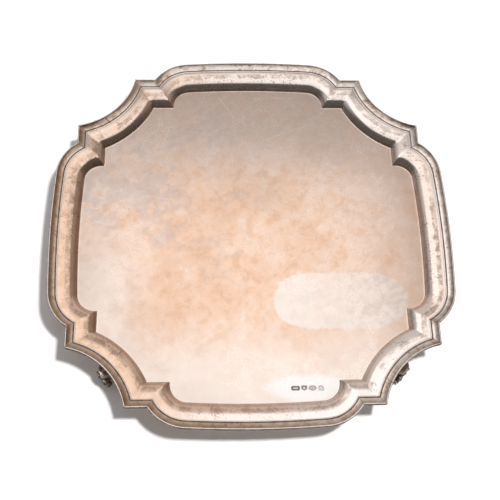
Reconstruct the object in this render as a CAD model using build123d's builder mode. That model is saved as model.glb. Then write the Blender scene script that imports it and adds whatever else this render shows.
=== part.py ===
from build123d import *
from math import acos, asin, atan2, cos, degrees, radians, sin, sqrt
import os

# A square silver salver with bowed sides, a raised border, an applied moulding and four scroll feet.
# The origin is on the table, under the middle of the field. +Z is up, +Y is the back, sizes are in mm.

os.makedirs("parts", exist_ok=True)

# ---- driving dimensions -------------------------------------------------------------------------

SPAN = 305.0                # between the middles of two opposite sides
BOW_HALF_LENGTH = 50.0      # from a side's middle to where its bow runs into the shoulder
BOW_RISE = 1.6              # height of the bow over that length
SHOULDER_RADIUS = 34.0      # round shoulder at each end of a side
SHOULDER_TURN = 150         # furthest bearing that a shoulder turns to
STEP_SETBACK = 16.6         # the straight steps lie this far inside the middle of a side
EAR_HALF_SPAN = 92.3        # from the centre line to the point of an ear
CORNER_RADIUS = 55.0        # hollow corner between two ears

SHEET = 1.2                 # thickness of the tray
BORDER_WIDTH = 21.2         # from the outer edge to the field
SEAT_RISE = 8.0             # from the field up to the seat of the moulding
TRAY_SETBACK = 0.2          # the tray's edge stands this far inside the bead

FOOT_FILLET = 1.0           # hollow between field and wall
WALL_SLOPE = 72.0           # steepest part of the wall, degrees
SHOULDER_SLOPE = 20.0       # where the wall turns into the gentle cove
RIM_SLOPE = 5.0             # where the cove reaches the moulding
WALL_CROWN_RADIUS = 7.3     # round over the wall

MOULDING_WIDTH = 7.0        # of the applied moulding
MOULDING_HEIGHT = 3.0       # from its seat to the top of the bead
BEAD_RADIUS = 0.65          # outer bead, which overhangs the wall under it
REED_RADIUS = 0.4           # inner reed
QUIRK_WIDTH = 0.7           # groove between the hollow and the reed
QUIRK_DEPTH = 0.5
HOLLOW_DROP = 0.35          # sag of the hollow under its chord
HOLLOW_FOOT = 0.75          # thickness of the moulding at the foot of the hollow

FOOT_HEIGHT = 19.3          # from the table to the underside of the field
FOOT_WIDTH = 7.0            # leg
KNEE_WIDTH = 14.0           # fan at the top of the leg
TOE_WIDTH = 12.0            # scroll at the bottom of the leg
TOE_RADIUS = 3.2
TOE_REACH = 1.8             # from the edge of the moulding out to the middle of the toe scroll
KNEE_REACH = 4.0            # from the edge of the moulding out to the knee
LEG_THICKNESS = 4.4
FAN_DEPTH = 6.0             # height of the fan on the knee
PAD_HEIGHT = 1.4
PAD_LENGTH = 5.0

BACK_LEFT_SEAM = 0.33       # where the two-length corners are butted, as a share of the arc
FRONT_RIGHT_SEAM = 0.76

OVERRUN = 4.0               # extra length on each moulding before its ends are mitred
PROFILE_STATIONS = 4        # bands that make up each round stretch of the border

# ---- worked out from them -----------------------------------------------------------------------

HALF = SPAN / 2
STEP_LINE = HALF - STEP_SETBACK
BOW_RADIUS = (BOW_HALF_LENGTH**2 + BOW_RISE**2) / (2 * BOW_RISE)
BOW_ANGLE = asin(BOW_HALF_LENGTH / BOW_RADIUS)
BOW_CENTRE = Vector(0, HALF - BOW_RADIUS)
SHOULDER_CENTRE = BOW_CENTRE + Vector(sin(BOW_ANGLE), cos(BOW_ANGLE)) * (BOW_RADIUS - SHOULDER_RADIUS)

# the hollow corner's centre lies on the diagonal, one corner radius from the point of the ear
EAR_MIDDLE = (EAR_HALF_SPAN + STEP_LINE) / 2
EAR_OFFSET = (STEP_LINE - EAR_HALF_SPAN) / 2
CORNER = EAR_MIDDLE + sqrt(CORNER_RADIUS**2 / 2 - EAR_OFFSET**2)
CORNER_CENTRE = Vector(CORNER, CORNER)
DIAGONAL_EDGE = CORNER * sqrt(2) - CORNER_RADIUS

FIELD_TOP = FOOT_HEIGHT + SHEET
SEAT = FIELD_TOP + SEAT_RISE

SIDES = ("back", "left", "front", "right")
CORNERS = ("back_right", "back_left", "front_left", "front_right")
QUARTER_TURN = 90

DIAGONAL = Plane(origin=(0, 0, 0), x_dir=(1, 1, 0), z_dir=(1, -1, 0))


# ---- the edge line ------------------------------------------------------------------------------


def on_circle(centre, radius, bearing):
    """A point on a circle, its bearing counted from +Y towards +X."""
    return centre + Vector(sin(bearing), cos(bearing)) * radius


def middle_of_side(inset):
    return Vector(0, HALF - inset)


def end_of_bow(inset):
    return on_circle(BOW_CENTRE, BOW_RADIUS - inset, BOW_ANGLE)


def shoulder_bearing(inset):
    """Where the shoulder meets the step, as a bearing from the shoulder's centre.

    A shoulder too tight to reach the step's line stops at its furthest turn, and the step slants to it.
    """
    drop = (STEP_LINE - inset - SHOULDER_CENTRE.Y) / (SHOULDER_RADIUS - inset)
    return acos(max(drop, cos(radians(SHOULDER_TURN))))


def end_of_shoulder(inset):
    return on_circle(SHOULDER_CENTRE, SHOULDER_RADIUS - inset, shoulder_bearing(inset))


def ear_bearing(inset):
    """Where the hollow corner meets the step, as a bearing from the corner's centre."""
    rise = STEP_LINE - inset - CORNER
    reach = sqrt((CORNER_RADIUS + inset) ** 2 - rise**2)
    return atan2(-reach, rise)


def ear(inset):
    return on_circle(CORNER_CENTRE, CORNER_RADIUS + inset, ear_bearing(inset))


def middle_of_corner(inset):
    return on_circle(CORNER_CENTRE, CORNER_RADIUS + inset, radians(-135))


def middle_of_shoulder(inset):
    return on_circle(SHOULDER_CENTRE, SHOULDER_RADIUS - inset, (BOW_ANGLE + shoulder_bearing(inset)) / 2)


def mirrored(point):
    return Vector(-point.X, point.Y)


def across_diagonal(point):
    return Vector(point.Y, point.X)


def outline(inset):
    """The area inside the salver's edge line, moved in by inset."""
    with BuildSketch() as area:
        with BuildLine():
            for quarter in range(4):

                def turned(point):
                    return point.rotate(Axis.Z, -QUARTER_TURN * quarter)

                left_end = turned(mirrored(end_of_shoulder(inset)))
                left_bow = turned(mirrored(end_of_bow(inset)))
                right_bow = turned(end_of_bow(inset))
                right_end = turned(end_of_shoulder(inset))
                near_ear = turned(ear(inset))
                far_ear = turned(across_diagonal(ear(inset)))
                next_end = turned(across_diagonal(end_of_shoulder(inset)))
                ThreePointArc(left_end, turned(mirrored(middle_of_shoulder(inset))), left_bow)
                ThreePointArc(left_bow, turned(middle_of_side(inset)), right_bow)
                ThreePointArc(right_bow, turned(middle_of_shoulder(inset)), right_end)
                Line(right_end, near_ear)
                ThreePointArc(near_ear, turned(middle_of_corner(inset)), far_ear)
                Line(far_ear, next_end)
        make_face()
    return area.sketch


# ---- the border's section -----------------------------------------------------------------------


def border_stations():
    """Points up the border's top surface: distance out from the field, height over it, slope in degrees."""
    crown_run = WALL_CROWN_RADIUS * (sin(radians(WALL_SLOPE)) - sin(radians(SHOULDER_SLOPE)))
    crown_rise = WALL_CROWN_RADIUS * (cos(radians(SHOULDER_SLOPE)) - cos(radians(WALL_SLOPE)))
    fillet_run = FOOT_FILLET * sin(radians(WALL_SLOPE))
    fillet_rise = FOOT_FILLET * (1 - cos(radians(WALL_SLOPE)))
    # the straight wall and the cove share out what is left of the width and height
    width = BORDER_WIDTH - MOULDING_WIDTH - fillet_run - crown_run
    height = SEAT_RISE - fillet_rise - crown_rise
    cove_run_share = sin(radians(SHOULDER_SLOPE)) - sin(radians(RIM_SLOPE))
    cove_rise_share = cos(radians(RIM_SLOPE)) - cos(radians(SHOULDER_SLOPE))
    wall_tangent = sin(radians(WALL_SLOPE)) / cos(radians(WALL_SLOPE))
    cove_radius = (width * wall_tangent - height) / (cove_run_share * wall_tangent - cove_rise_share)
    wall_run = width - cove_radius * cove_run_share

    stations = [(0.0, 0.0, 0.0)]

    def bend(radius, slope_from, slope_to, sense):
        for step in range(1, PROFILE_STATIONS + 1):
            start = radians(slope_from + (slope_to - slope_from) * (step - 1) / PROFILE_STATIONS)
            end = radians(slope_from + (slope_to - slope_from) * step / PROFILE_STATIONS)
            run, rise, _ = stations[-1]
            run += sense * radius * (sin(end) - sin(start))
            rise += sense * radius * (cos(start) - cos(end))
            stations.append((run, rise, degrees(end)))

    bend(FOOT_FILLET, 0, WALL_SLOPE, 1)
    run, rise, slope = stations[-1]
    stations.append((run + wall_run, rise + wall_run * wall_tangent, slope))
    bend(WALL_CROWN_RADIUS, WALL_SLOPE, SHOULDER_SLOPE, -1)
    bend(cove_radius, SHOULDER_SLOPE, RIM_SLOPE, -1)
    return stations


STATIONS = border_stations()
INNER_STATIONS = STATIONS[:-1] + [(BORDER_WIDTH - MOULDING_WIDTH, SEAT_RISE, 0.0)]

# ---- tray: field and border raised from one sheet -------------------------------------------------

with BuildPart() as tray:
    for run, rise, slope in INNER_STATIONS:
        lower = FIELD_TOP + rise - SHEET * cos(radians(slope))
        with BuildSketch(Plane.XY.offset(lower)):
            add(outline(BORDER_WIDTH - run - SHEET * sin(radians(slope))))
    loft(ruled=True)
    with BuildSketch(Plane.XY.offset(SEAT - SHEET)):
        add(outline(TRAY_SETBACK))
    extrude(amount=SHEET)
    for run, rise, slope in INNER_STATIONS:
        with BuildSketch(Plane.XY.offset(FIELD_TOP + rise)):
            add(outline(BORDER_WIDTH - run))
    loft(ruled=True, mode=Mode.SUBTRACT)
tray.part.label = "tray"
export_step(tray.part, "parts/tray.step")

# ---- applied moulding -----------------------------------------------------------------------------


def moulding_section(route):
    """The moulding's section across the start of a route that has the tray on its left."""
    heading = route % 0
    inward = Vector(0, 0, 1).cross(heading)
    bead_centre = MOULDING_HEIGHT - BEAD_RADIUS
    quirk_inner = MOULDING_WIDTH - 2 * REED_RADIUS
    quirk_outer = quirk_inner - QUIRK_WIDTH
    with BuildSketch(Plane(origin=route @ 0, x_dir=inward, z_dir=heading)) as section:
        with BuildLine():
            Polyline(
                (BEAD_RADIUS, bead_centre),
                (BEAD_RADIUS, 0),
                (MOULDING_WIDTH, 0),
                (MOULDING_WIDTH, HOLLOW_FOOT),
                (quirk_inner, HOLLOW_FOOT),
                ((quirk_inner + quirk_outer) / 2, HOLLOW_FOOT - QUIRK_DEPTH),
                (quirk_outer, HOLLOW_FOOT),
            )
            SagittaArc((quirk_outer, HOLLOW_FOOT), (BEAD_RADIUS, bead_centre), -HOLLOW_DROP)
        make_face()
        with Locations((BEAD_RADIUS, bead_centre)):
            Circle(BEAD_RADIUS)
        with Locations((MOULDING_WIDTH - REED_RADIUS, HOLLOW_FOOT)):
            Circle(REED_RADIUS)
    return section.sketch


def mitre(corner):
    """The upright plane that two lengths meet in at a corner, facing the middle of the side."""
    outer = corner(0)
    along = corner(MOULDING_WIDTH) - outer
    return Plane(origin=outer, z_dir=along.cross(Vector(0, 0, 1)))


def raised(point):
    return Vector(point.X, point.Y, SEAT)


with BuildPart() as side_length:
    overrun_bearing = shoulder_bearing(0) + OVERRUN / SHOULDER_RADIUS
    with BuildLine() as side_route:
        far_end = raised(on_circle(SHOULDER_CENTRE, SHOULDER_RADIUS, overrun_bearing))
        ThreePointArc(far_end, raised(middle_of_shoulder(0)), raised(end_of_bow(0)))
        bow_middle = raised(on_circle(BOW_CENTRE, BOW_RADIUS, BOW_ANGLE / 2))
        ThreePointArc(raised(end_of_bow(0)), bow_middle, raised(middle_of_side(0)))
    add(moulding_section(side_route.line))
    sweep()
    split(bisect_by=mitre(end_of_shoulder), keep=Keep.TOP)
    mirror(about=Plane.YZ)

with BuildPart() as step_length:
    with BuildLine() as step_route:
        Line(raised(ear(0) + Vector(OVERRUN, 0)), raised(end_of_shoulder(0) - Vector(OVERRUN, 0)))
    add(moulding_section(step_route.line))
    sweep()
    split(bisect_by=mitre(ear), keep=Keep.TOP)
    split(bisect_by=mitre(end_of_shoulder), keep=Keep.BOTTOM)

with BuildPart() as corner_length:
    overrun_bearing = ear_bearing(0) + OVERRUN / CORNER_RADIUS
    quarter_bearing = (radians(-135) + ear_bearing(0)) / 2
    with BuildLine() as corner_route:
        ThreePointArc(
            raised(middle_of_corner(0)),
            raised(on_circle(CORNER_CENTRE, CORNER_RADIUS, quarter_bearing)),
            raised(on_circle(CORNER_CENTRE, CORNER_RADIUS, overrun_bearing)),
        )
    add(moulding_section(corner_route.line))
    sweep()
    split(bisect_by=mitre(ear), keep=Keep.BOTTOM)
    mirror(about=DIAGONAL)


def write_turned(piece, quarter, name):
    """Write a copy of a piece, turned by quarters of a turn about the middle of the tray."""
    with BuildPart() as placed:
        add(piece.rotate(Axis.Z, QUARTER_TURN * quarter))
    placed.part.label = name
    export_step(placed.part, f"parts/{name}.step")


def corner_half(share, keep):
    """One side of a corner length cut square across at a share of its arc, from the ear by the side."""
    first = ear_bearing(0)
    last = radians(-270) - first
    bearing = first + (last - first) * share
    along = Vector(sin(bearing), cos(bearing))
    seam = Plane(origin=CORNER_CENTRE, z_dir=Vector(0, 0, 1).cross(along))
    with BuildPart() as half:
        add(corner_length.part)
        split(bisect_by=seam, keep=keep)
    return half.part


for quarter in range(4):
    side = SIDES[quarter]
    corner = CORNERS[quarter]
    write_turned(side_length.part, quarter, f"{side}_moulding")
    write_turned(step_length.part, quarter, f"{side}_step_by_{corner}_corner")
    opposite_step = mirror(step_length.part, about=Plane.YZ, mode=Mode.PRIVATE)
    next_corner = CORNERS[(quarter + 1) % 4]
    write_turned(opposite_step, quarter, f"{side}_step_by_{next_corner}_corner")

for corner, share in (("back_left", BACK_LEFT_SEAM), ("front_right", FRONT_RIGHT_SEAM)):
    quarter = CORNERS.index(corner)
    write_turned(corner_half(share, Keep.TOP), quarter, f"{corner}_corner_first_length")
    write_turned(corner_half(share, Keep.BOTTOM), quarter, f"{corner}_corner_second_length")

for corner in ("back_right", "front_left"):
    write_turned(corner_length.part, CORNERS.index(corner), f"{corner}_corner_moulding")

# ---- feet: cast scrolls soldered under the seat, one on each diagonal --------------------------------

KNEE = DIAGONAL_EDGE + KNEE_REACH
TOE = DIAGONAL_EDGE + TOE_REACH
TOE_CENTRE = PAD_HEIGHT + TOE_RADIUS
FLANGE_UNDERSIDE = SEAT - SHEET
LEG_ROOT = DIAGONAL_EDGE - TRAY_SETBACK
ANKLE = TOE - TOE_RADIUS


def level_on_diagonal(distance, height):
    """A level plane at a distance along the diagonal, its X pointing outwards."""
    return Plane(origin=DIAGONAL.from_local_coords((distance, height, 0)), x_dir=(1, 1, 0), z_dir=(0, 0, 1))


with BuildPart() as foot:
    with BuildSketch(DIAGONAL):
        with BuildLine():
            Spline(
                (LEG_ROOT, FLANGE_UNDERSIDE),
                (KNEE, FLANGE_UNDERSIDE - FAN_DEPTH),
                (ANKLE + LEG_THICKNESS / 2, TOE_CENTRE + TOE_RADIUS),
                (TOE, TOE_CENTRE),
            )
            Line((TOE, TOE_CENTRE), (TOE - TOE_RADIUS / 2, TOE_CENTRE))
            Spline(
                (TOE - TOE_RADIUS / 2, TOE_CENTRE),
                (ANKLE - LEG_THICKNESS / 2, TOE_CENTRE + TOE_RADIUS),
                (KNEE - LEG_THICKNESS, FLANGE_UNDERSIDE - FAN_DEPTH),
                (LEG_ROOT - LEG_THICKNESS, FLANGE_UNDERSIDE),
            )
            Line((LEG_ROOT - LEG_THICKNESS, FLANGE_UNDERSIDE), (LEG_ROOT, FLANGE_UNDERSIDE))
        make_face()
    extrude(amount=FOOT_WIDTH / 2, both=True)
    with BuildSketch(DIAGONAL):
        with Locations((TOE, TOE_CENTRE)):
            Circle(TOE_RADIUS)
        with Locations((TOE, PAD_HEIGHT / 2 + TOE_RADIUS / 4)):
            Rectangle(PAD_LENGTH, PAD_HEIGHT + TOE_RADIUS / 2)
    extrude(amount=TOE_WIDTH / 2, both=True)
    # the fan narrows from the seat down to the knee
    with BuildSketch(level_on_diagonal(LEG_ROOT - LEG_THICKNESS / 2, FLANGE_UNDERSIDE)):
        Rectangle(LEG_THICKNESS, KNEE_WIDTH)
    with BuildSketch(level_on_diagonal(KNEE - LEG_THICKNESS / 2, FLANGE_UNDERSIDE - FAN_DEPTH)):
        Rectangle(LEG_THICKNESS, FOOT_WIDTH)
    loft()

for quarter in range(4):
    write_turned(foot.part, quarter, f"{CORNERS[quarter]}_foot")
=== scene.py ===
from math import acos, asin, atan2, cos, exp, hypot, pi, radians, sin, sqrt, tan

import bmesh
import bpy
from bpy.props import FloatProperty, FloatVectorProperty, IntProperty, PointerProperty
from mathutils import Matrix, Vector, noise


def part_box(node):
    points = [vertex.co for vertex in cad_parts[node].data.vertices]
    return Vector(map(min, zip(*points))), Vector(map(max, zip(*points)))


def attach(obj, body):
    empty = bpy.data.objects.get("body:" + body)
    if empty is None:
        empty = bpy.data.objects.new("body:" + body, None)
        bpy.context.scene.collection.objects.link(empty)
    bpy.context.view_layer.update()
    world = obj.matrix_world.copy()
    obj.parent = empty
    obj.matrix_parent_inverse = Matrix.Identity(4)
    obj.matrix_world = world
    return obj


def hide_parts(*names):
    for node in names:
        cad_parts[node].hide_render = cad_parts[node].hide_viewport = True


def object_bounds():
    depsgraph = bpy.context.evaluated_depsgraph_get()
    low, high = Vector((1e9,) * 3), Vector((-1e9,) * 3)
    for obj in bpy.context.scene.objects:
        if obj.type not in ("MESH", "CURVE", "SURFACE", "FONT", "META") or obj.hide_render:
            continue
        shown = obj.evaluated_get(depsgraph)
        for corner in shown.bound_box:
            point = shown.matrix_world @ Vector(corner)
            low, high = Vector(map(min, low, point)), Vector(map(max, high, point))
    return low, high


bl_info = {
    "name": "Square Footed Salver",
    "version": (1, 0, 0),
    "blender": (4, 5, 0),
    "location": "3D View > Sidebar > Salver",
    "description": "A square silver salver with a raised border, an applied moulding and four scroll feet",
    "category": "Mesh",
}

MM = 0.001
QUARTER = pi / 2

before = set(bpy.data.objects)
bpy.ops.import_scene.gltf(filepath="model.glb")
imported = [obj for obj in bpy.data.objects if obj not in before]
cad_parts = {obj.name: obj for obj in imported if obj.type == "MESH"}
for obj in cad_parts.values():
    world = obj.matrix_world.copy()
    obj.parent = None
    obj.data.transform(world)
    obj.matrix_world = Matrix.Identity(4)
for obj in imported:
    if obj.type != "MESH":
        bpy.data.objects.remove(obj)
CAD_LOW, CAD_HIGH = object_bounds()
TRAY_LOW, TRAY_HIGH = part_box("tray")
FOOT_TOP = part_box("back_right_foot")[1].z

SIDES = ("back", "left", "front", "right")
CORNERS = ("back_right", "back_left", "front_left", "front_right")


# ---- sizes and colours a maker would change ---------------------------------------------------------


def length(name, description, default):
    return FloatProperty(name=name, description=description, unit="LENGTH", default=default)


def angle(name, description, degrees):
    return FloatProperty(name=name, description=description, unit="ROTATION", default=radians(degrees))


def power(name, description, watts):
    return FloatProperty(name=name, description=description, unit="POWER", default=watts)


def vector(name, description, subtype, *parts):
    return FloatVectorProperty(
        name=name, description=description, subtype=subtype, size=len(parts), default=parts)


def tint(name, description, *shares):
    return vector(name, description, "COLOR", *shares, 1)


class SalverOutline(bpy.types.PropertyGroup):
    """The edge line of the salver, seen from above."""

    span: length("Span", "Between the middles of two opposite sides", CAD_HIGH.x - CAD_LOW.x)
    bow_half_length: length("Bow Half Length", "From a side's middle to its shoulder", 50 * MM)
    bow_rise: length("Bow Rise", "Height of a side's bow", 1.6 * MM)
    shoulder_radius: length("Shoulder Radius", "Round at each end of a side", 34 * MM)
    step_setback: length("Step Setback", "How far the steps lie inside the sides", 16.6 * MM)
    ear_half_span: length("Ear Half Span", "From the centre line to an ear's point", 92.3 * MM)
    corner_radius: length("Corner Radius", "Radius of the hollow corners", 55 * MM)


class TraySizes(bpy.types.PropertyGroup):
    """The section of the sheet tray, from its field out to its edge."""

    sheet: length("Sheet", "Thickness of the silver sheet", 1.2 * MM)
    border_width: length("Border Width", "From the outer edge to the field", 21.2 * MM)
    edge_setback: length("Edge Setback", "From the bead in to the tray's edge", CAD_HIGH.x - TRAY_HIGH.x)
    fillet_radius: length("Fillet Radius", "Hollow between field and wall", 1 * MM)
    crown_radius: length("Crown Radius", "Round over the wall", 7.3 * MM)
    wall_slope: angle("Wall Slope", "Steepest part of the wall", 72)
    crown_slope: angle("Crown Slope", "Where the crown turns into the cove", 20)
    rim_slope: angle("Rim Slope", "Where the cove meets the moulding", 5)
    unevenness: length("Unevenness", "Waves left in the border by the hammer", 0.09 * MM)


class MouldingSizes(bpy.types.PropertyGroup):
    """The section of the applied moulding."""

    width: length("Width", "From the outer edge inwards", 7 * MM)
    height: length("Height", "From its seat to the top of the bead", CAD_HIGH.z - TRAY_HIGH.z)
    bead_radius: length("Bead Radius", "Outer bead", 0.65 * MM)
    bead_wear: length("Bead Wear", "Worn off the top of the bead", 0.04 * MM)
    lip_width: length("Lip Width", "Inner lip that rolls over to the tray", 0.85 * MM)
    quirk_width: length("Quirk Width", "Groove beside the lip", 0.95 * MM)
    quirk_depth: length("Quirk Depth", "Depth of that groove", 0.28 * MM)
    hollow_foot: length("Hollow Foot", "Thickness at the foot of the hollow", 0.3 * MM)
    hollow_sag: length("Hollow Sag", "Depth of the hollow under its chord", 0.12 * MM)
    joint_gap: length("Joint Gap", "Sunk solder line between two lengths", 0.22 * MM)
    joint_dirt: length("Joint Dirt", "Reach of the dirt on each side of a joint", 0.5 * MM)


class FootSizes(bpy.types.PropertyGroup):
    """A cast scroll foot."""

    toe_reach: length("Toe Reach", "From the edge out to the middle of the toe", 1.8 * MM)
    knee_reach: length("Knee Reach", "From the edge out to the knee", 4 * MM)
    toe_radius: length("Toe Radius", "Scroll at the toe", 2.9 * MM)
    toe_width: length("Toe Width", "Across the toe", 11.6 * MM)
    fan_width: length("Fan Width", "Across the shell", 15 * MM)
    fan_lobes: IntProperty(name="Fan Lobes", description="Lobes in the shell", default=7, min=3, max=15)
    fan_spread: angle("Fan Spread", "Between the outer lobes of the shell", 96)
    fan_lean: angle("Fan Lean", "Backward lean of the shell", 16)
    lobe_length: length("Lobe Length", "Length of one lobe", 6.4 * MM)
    lobe_width: length("Lobe Width", "Half width of one lobe", 0.8 * MM)
    pad_height: length("Pad Height", "Pad under the toe", 1.4 * MM)
    grain: length("Casting Grain", "Size of the cells the casting is merged on", 0.26 * MM)


class PunchSizes(bpy.types.PropertyGroup):
    """The row of four plain punch marks on the field."""

    row_start: length("Row Start", "Left end of the row", 26.0 * MM)
    row_line: length("Row Line", "Middle of the row", -120.8 * MM)
    height: length("Height", "Of one mark", 3.6 * MM)
    depth: length("Depth", "Of the struck ground", 0.32 * MM)
    cell: length("Cell", "Mesh size under the marks", 0.14 * MM)


class SilverColours(bpy.types.PropertyGroup):
    """Colours of the silver and of its tarnish, some also used for painted light and shade."""

    clean: tint("Clean", "Bright silver", 0.96, 0.92, 0.89)
    # painted highlight: the colour of the key light's glow round the marks
    painted_glow: tint("Bare", "Silver rubbed bare round the marks", 0.99, 0.97, 0.96)
    fresh: tint("Fresh", "Silver laid open by a scratch", 0.99, 0.95, 0.92)
    # also the colour of painted light on the field's front and left
    pale: tint("Pale", "Silver wiped often", 0.96, 0.85, 0.78)
    rose: tint("Rose", "Thin first tarnish", 0.94, 0.76, 0.66)
    peach: tint("Peach", "Warm tarnish", 0.92, 0.61, 0.43)
    amber: tint("Amber", "Deep tarnish", 0.66, 0.42, 0.26)
    # also the colour of painted shade in the moulding's hollow, at the foot of the wall and on the feet
    umber: tint("Umber", "Brown dirt", 0.26, 0.18, 0.13)
    smoke: tint("Smoke", "Grey film", 0.66, 0.58, 0.54)
    mist: tint("Mist", "Cool grey tarnish", 0.70, 0.62, 0.62)
    # also the colour of painted shade on the tray's edge, under and outside the bead, and on the feet
    soot_and_shade: tint("Soot", "Dirt left in the recesses", 0.07, 0.045, 0.035)


class Studio(bpy.types.PropertyGroup):
    """The stage: floor, lights and camera."""

    floor_size: length("Floor Size", "Side of the floor", 6)
    floor_colour: tint("Floor", "Pale floor", 0.86, 0.86, 0.86)
    key_power: power("Key", "Small light that casts the shadow", 27)
    key_size: length("Key Size", "Side of the key light", 0.14)
    key_place: vector("Key Place", "Where the key light hangs", "TRANSLATION", 0.40, -0.095, 1.5)
    glint_power: power("Glint", "The key light, as metal shows it", 0.8)
    fill_power: power("Fill", "Soft light into the shadow", 1.6)
    fill_width: length("Fill Width", "Long side of the fill light", 1.2)
    fill_depth: length("Fill Depth", "Short side of the fill light", 0.6)
    fill_place: vector("Fill Place", "Where the fill light stands", "TRANSLATION", -0.7, -0.7, 0.5)
    fill_colour: vector("Fill Colour", "Cool daylight", "COLOR", 0.88, 0.95, 1.0)
    card_power: power("Card", "Soft box over the salver", 0.59)
    card_width: length("Card Width", "Across the view", 0.51)
    card_depth: length("Card Depth", "From front to back", 0.48)
    card_height: length("Card Height", "Over the table", 0.60)
    card_shift: length("Card Shift", "Its middle, right of the salver's", 0.012)
    card_front: length("Card Front", "Its front edge, before the salver's middle", 0.09)
    room_back: tint("Room Behind", "Light from behind the salver", 0.60, 0.58, 0.57)
    room_left: tint("Room at the Left", "Light from the left", 0.50, 0.50, 0.51)
    room_low_left: tint("Room Low at the Left", "Light from low at the left", 0.24, 0.23, 0.23)
    room_right: tint("Room at the Right", "Light from the right", 0.30, 0.26, 0.23)
    room_front: tint("Room in Front", "Light from behind the camera", 0.10, 0.095, 0.09)
    lens: FloatProperty(name="Lens", description="Focal length in millimetres", default=62.23)
    camera_place: vector("Camera", "Over the middle of the field", "TRANSLATION", -0.03105, -0.27774, 0.60524)
    camera_side: vector("Camera Right", "To the view's right", "DIRECTION", 0.99896, -0.02313, 0.03918)
    camera_up: vector("Camera Up", "To the view's top", "DIRECTION", 0.00545, 0.91578, 0.40163)


class SalverSettings(bpy.types.PropertyGroup):
    """Everything the salver's operators read."""

    outline: PointerProperty(type=SalverOutline)
    tray: PointerProperty(type=TraySizes)
    moulding: PointerProperty(type=MouldingSizes)
    foot: PointerProperty(type=FootSizes)
    punch: PointerProperty(type=PunchSizes)
    silver: PointerProperty(type=SilverColours)
    studio: PointerProperty(type=Studio)


# ---- the edge line ----------------------------------------------------------------------------------

BOW_STEPS = 32
SHOULDER_STEPS = 26
STEP_STEPS = 6
CORNER_STEPS = 48


def arc(centre, radius, start, end, steps):
    """Points along an arc, its bearings counted from +Y towards +X."""
    bearings = [start + (end - start) * step / steps for step in range(steps + 1)]
    return [centre + Vector((sin(b), cos(b))) * radius for b in bearings]


def straight(start, end, steps):
    return [start.lerp(end, step / steps) for step in range(steps + 1)]


def turned(points, quarters):
    """The points turned anticlockwise by quarter turns about the middle of the salver."""
    turn = Matrix.Rotation(QUARTER * quarters, 2)
    return [turn @ point for point in points]


def across_diagonal(points):
    return [Vector((point.y, point.x)) for point in points]


class EdgeLine:
    """The salver's outline at any inset from its outer edge. The +Y side stands for all four."""

    def __init__(self, outline):
        self.half = outline.span / 2
        self.step_line = self.half - outline.step_setback
        self.bow_radius = (outline.bow_half_length**2 + outline.bow_rise**2) / (2 * outline.bow_rise)
        self.bow_angle = asin(outline.bow_half_length / self.bow_radius)
        self.bow_centre = Vector((0, self.half - self.bow_radius))
        self.shoulder_radius = outline.shoulder_radius
        lean = Vector((sin(self.bow_angle), cos(self.bow_angle)))
        self.shoulder_centre = self.bow_centre + lean * (self.bow_radius - self.shoulder_radius)
        self.corner_radius = outline.corner_radius
        middle = (outline.ear_half_span + self.step_line) / 2
        offset = (self.step_line - outline.ear_half_span) / 2
        self.corner = middle + sqrt(self.corner_radius**2 / 2 - offset**2)
        self.corner_centre = Vector((self.corner, self.corner))
        self.diagonal_edge = self.corner * sqrt(2) - self.corner_radius

    def shoulder_bearing(self, inset):
        return acos((self.step_line - inset - self.shoulder_centre.y) / (self.shoulder_radius - inset))

    def ear_bearing(self, inset):
        rise = self.step_line - inset - self.corner
        return atan2(-sqrt((self.corner_radius + inset) ** 2 - rise**2), rise)

    def side(self, inset):
        """From the left end of the +Y side to its right end."""
        shoulder = arc(self.shoulder_centre, self.shoulder_radius - inset, self.bow_angle,
                       self.shoulder_bearing(inset), SHOULDER_STEPS)
        bow = arc(self.bow_centre, self.bow_radius - inset, -self.bow_angle, self.bow_angle, BOW_STEPS)
        mirrored = [Vector((-point.x, point.y)) for point in reversed(shoulder)]
        return mirrored + bow[1:-1] + shoulder

    def step(self, inset):
        """From the right end of the +Y side to the ear beside it."""
        return straight(self.side(inset)[-1], self.ear(inset), STEP_STEPS)

    def ear(self, inset):
        return arc(self.corner_centre, self.corner_radius + inset, self.ear_bearing(inset), 0, 1)[0]

    def corner_arc(self, inset, start=0.0, end=1.0):
        """Along the hollow corner, from the ear beside the +Y side to the next one, or a share of that."""
        first = self.ear_bearing(inset)
        sweep = radians(-270) - 2 * first
        return arc(self.corner_centre, self.corner_radius + inset, first + sweep * start,
                   first + sweep * end, max(8, round(CORNER_STEPS * (end - start))))

    def ring(self, inset):
        """The whole closed outline, clockwise."""
        step = self.step(inset)
        quarter = (self.side(inset)[:-1] + step[:-1] + self.corner_arc(inset)[:-1]
                   + across_diagonal(reversed(step))[:-1])
        return [point for turn in range(4) for point in turned(quarter, -turn)]


# ---- small helpers for meshes -----------------------------------------------------------------------


def smoothstep(low, high, value):
    share = min(max((value - low) / (high - low), 0.0), 1.0)
    return share * share * (3 - 2 * share)


def object_from(bm, name, material, sharp_angle=radians(32)):
    """Turn a bmesh into a named object with one material and smooth faces between its creases."""
    mesh = bpy.data.meshes.new(name)
    for face in bm.faces:
        face.smooth = True
    bm.to_mesh(mesh)
    bm.free()
    mesh.set_sharp_from_angle(angle=sharp_angle)
    mesh.materials.append(material)
    piece = bpy.data.objects.new(name, mesh)
    bpy.context.collection.objects.link(piece)
    return piece


def taken_from(mesh):
    """A bmesh with a mesh's shape, and the mesh gone."""
    bm = bmesh.new()
    bm.from_mesh(mesh)
    bpy.data.meshes.remove(mesh)
    return bm


def hold_piece(piece, slot, *nodes):
    """Fix a finished piece to the salver's one body, in place of its CAD nodes."""
    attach(piece, "root")
    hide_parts(*nodes)


# ---- node trees --------------------------------------------------------------------------------------


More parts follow.
